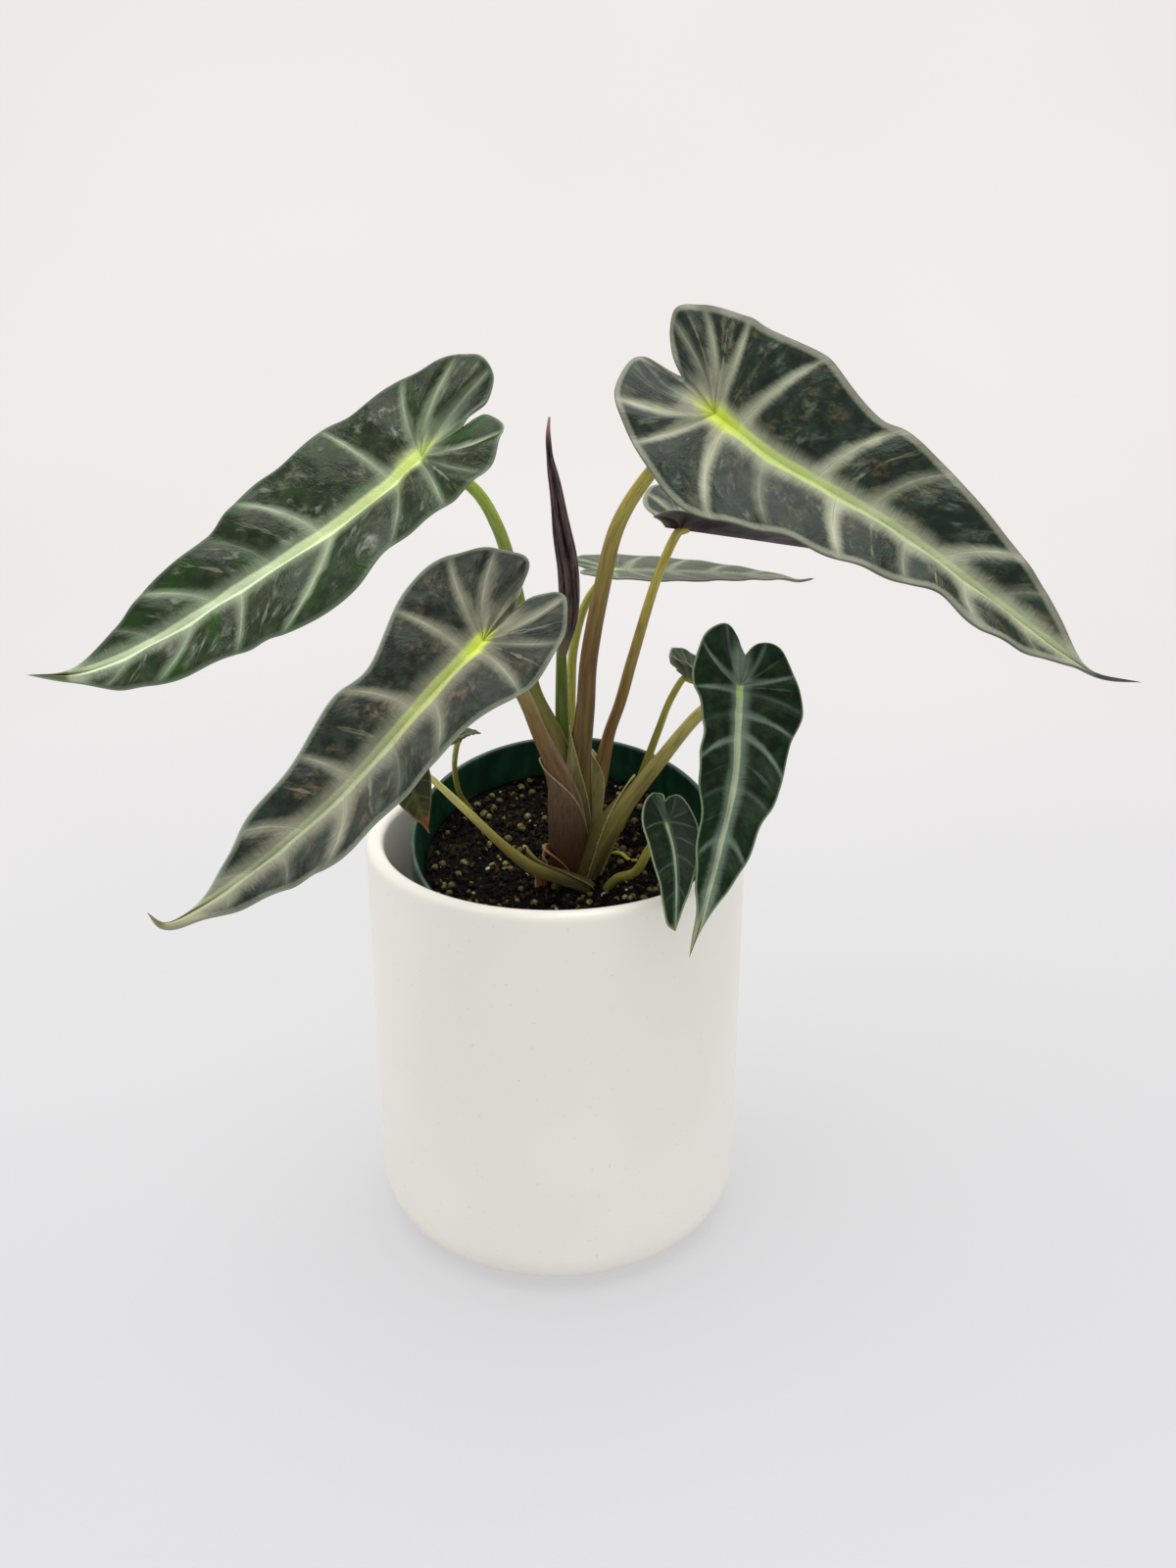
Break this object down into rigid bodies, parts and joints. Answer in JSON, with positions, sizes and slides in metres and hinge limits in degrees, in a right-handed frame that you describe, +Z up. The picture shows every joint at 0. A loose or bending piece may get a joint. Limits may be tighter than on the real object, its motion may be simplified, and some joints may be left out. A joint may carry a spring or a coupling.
{
  "type": "potted bambino alocasia",
  "caption": "Potted aroid house plant: arrow-shaped dark leaves with pale veins on long stalks, in a nursery pot set inside a plain white cylindrical pot.",
  "frame": {"origin": "centre of the outer pot's flat underside", "axes": "+Z up out of the pot, +X to the right and +Y away as the picture shows the plant"},
  "size_m": [0.3135, 0.1996, 0.3112],
  "materials": {
    "white_glaze": "satin",
    "green_plastic": "satin",
    "potting_soil": "matte",
    "stem_bark": "matte",
    "dry_paper": "matte",
    "young_green": "satin",
    "olive_stalk": "satin",
    "dark_leaf": "satin",
    "pale_leaf": "satin",
    "old_leaf": "satin",
    "rolled_leaf": "satin"
  },
  "bodies": {
    "root": {"outer_pot": "white_glaze", "nursery_pot": "green_plastic", "soil": "potting_soil", "stem_base": "stem_bark", "dry_sheath": "dry_paper", "young_shoot": "young_green", "leaf_top_right": "dark_leaf", "stalk_top_right": "olive_stalk", "leaf_top_left": "dark_leaf", "stalk_top_left": "olive_stalk", "leaf_behind": "dark_leaf", "stalk_behind": "olive_stalk", "leaf_front_left": "dark_leaf", "stalk_front_left": "olive_stalk", "leaf_hanging": "dark_leaf", "stalk_hanging": "olive_stalk", "leaf_back": "pale_leaf", "stalk_back": "olive_stalk", "leaf_yellowing": "old_leaf", "stalk_yellowing": "olive_stalk", "leaf_small": "dark_leaf", "stalk_small": "olive_stalk", "leaf_tiny_right": "pale_leaf", "stalk_tiny_right": "olive_stalk", "leaf_tiny_left": "pale_leaf", "stalk_tiny_left": "olive_stalk", "leaf_rolled": "rolled_leaf", "stalk_rolled": "young_green"}
  },
  "joints": []
}
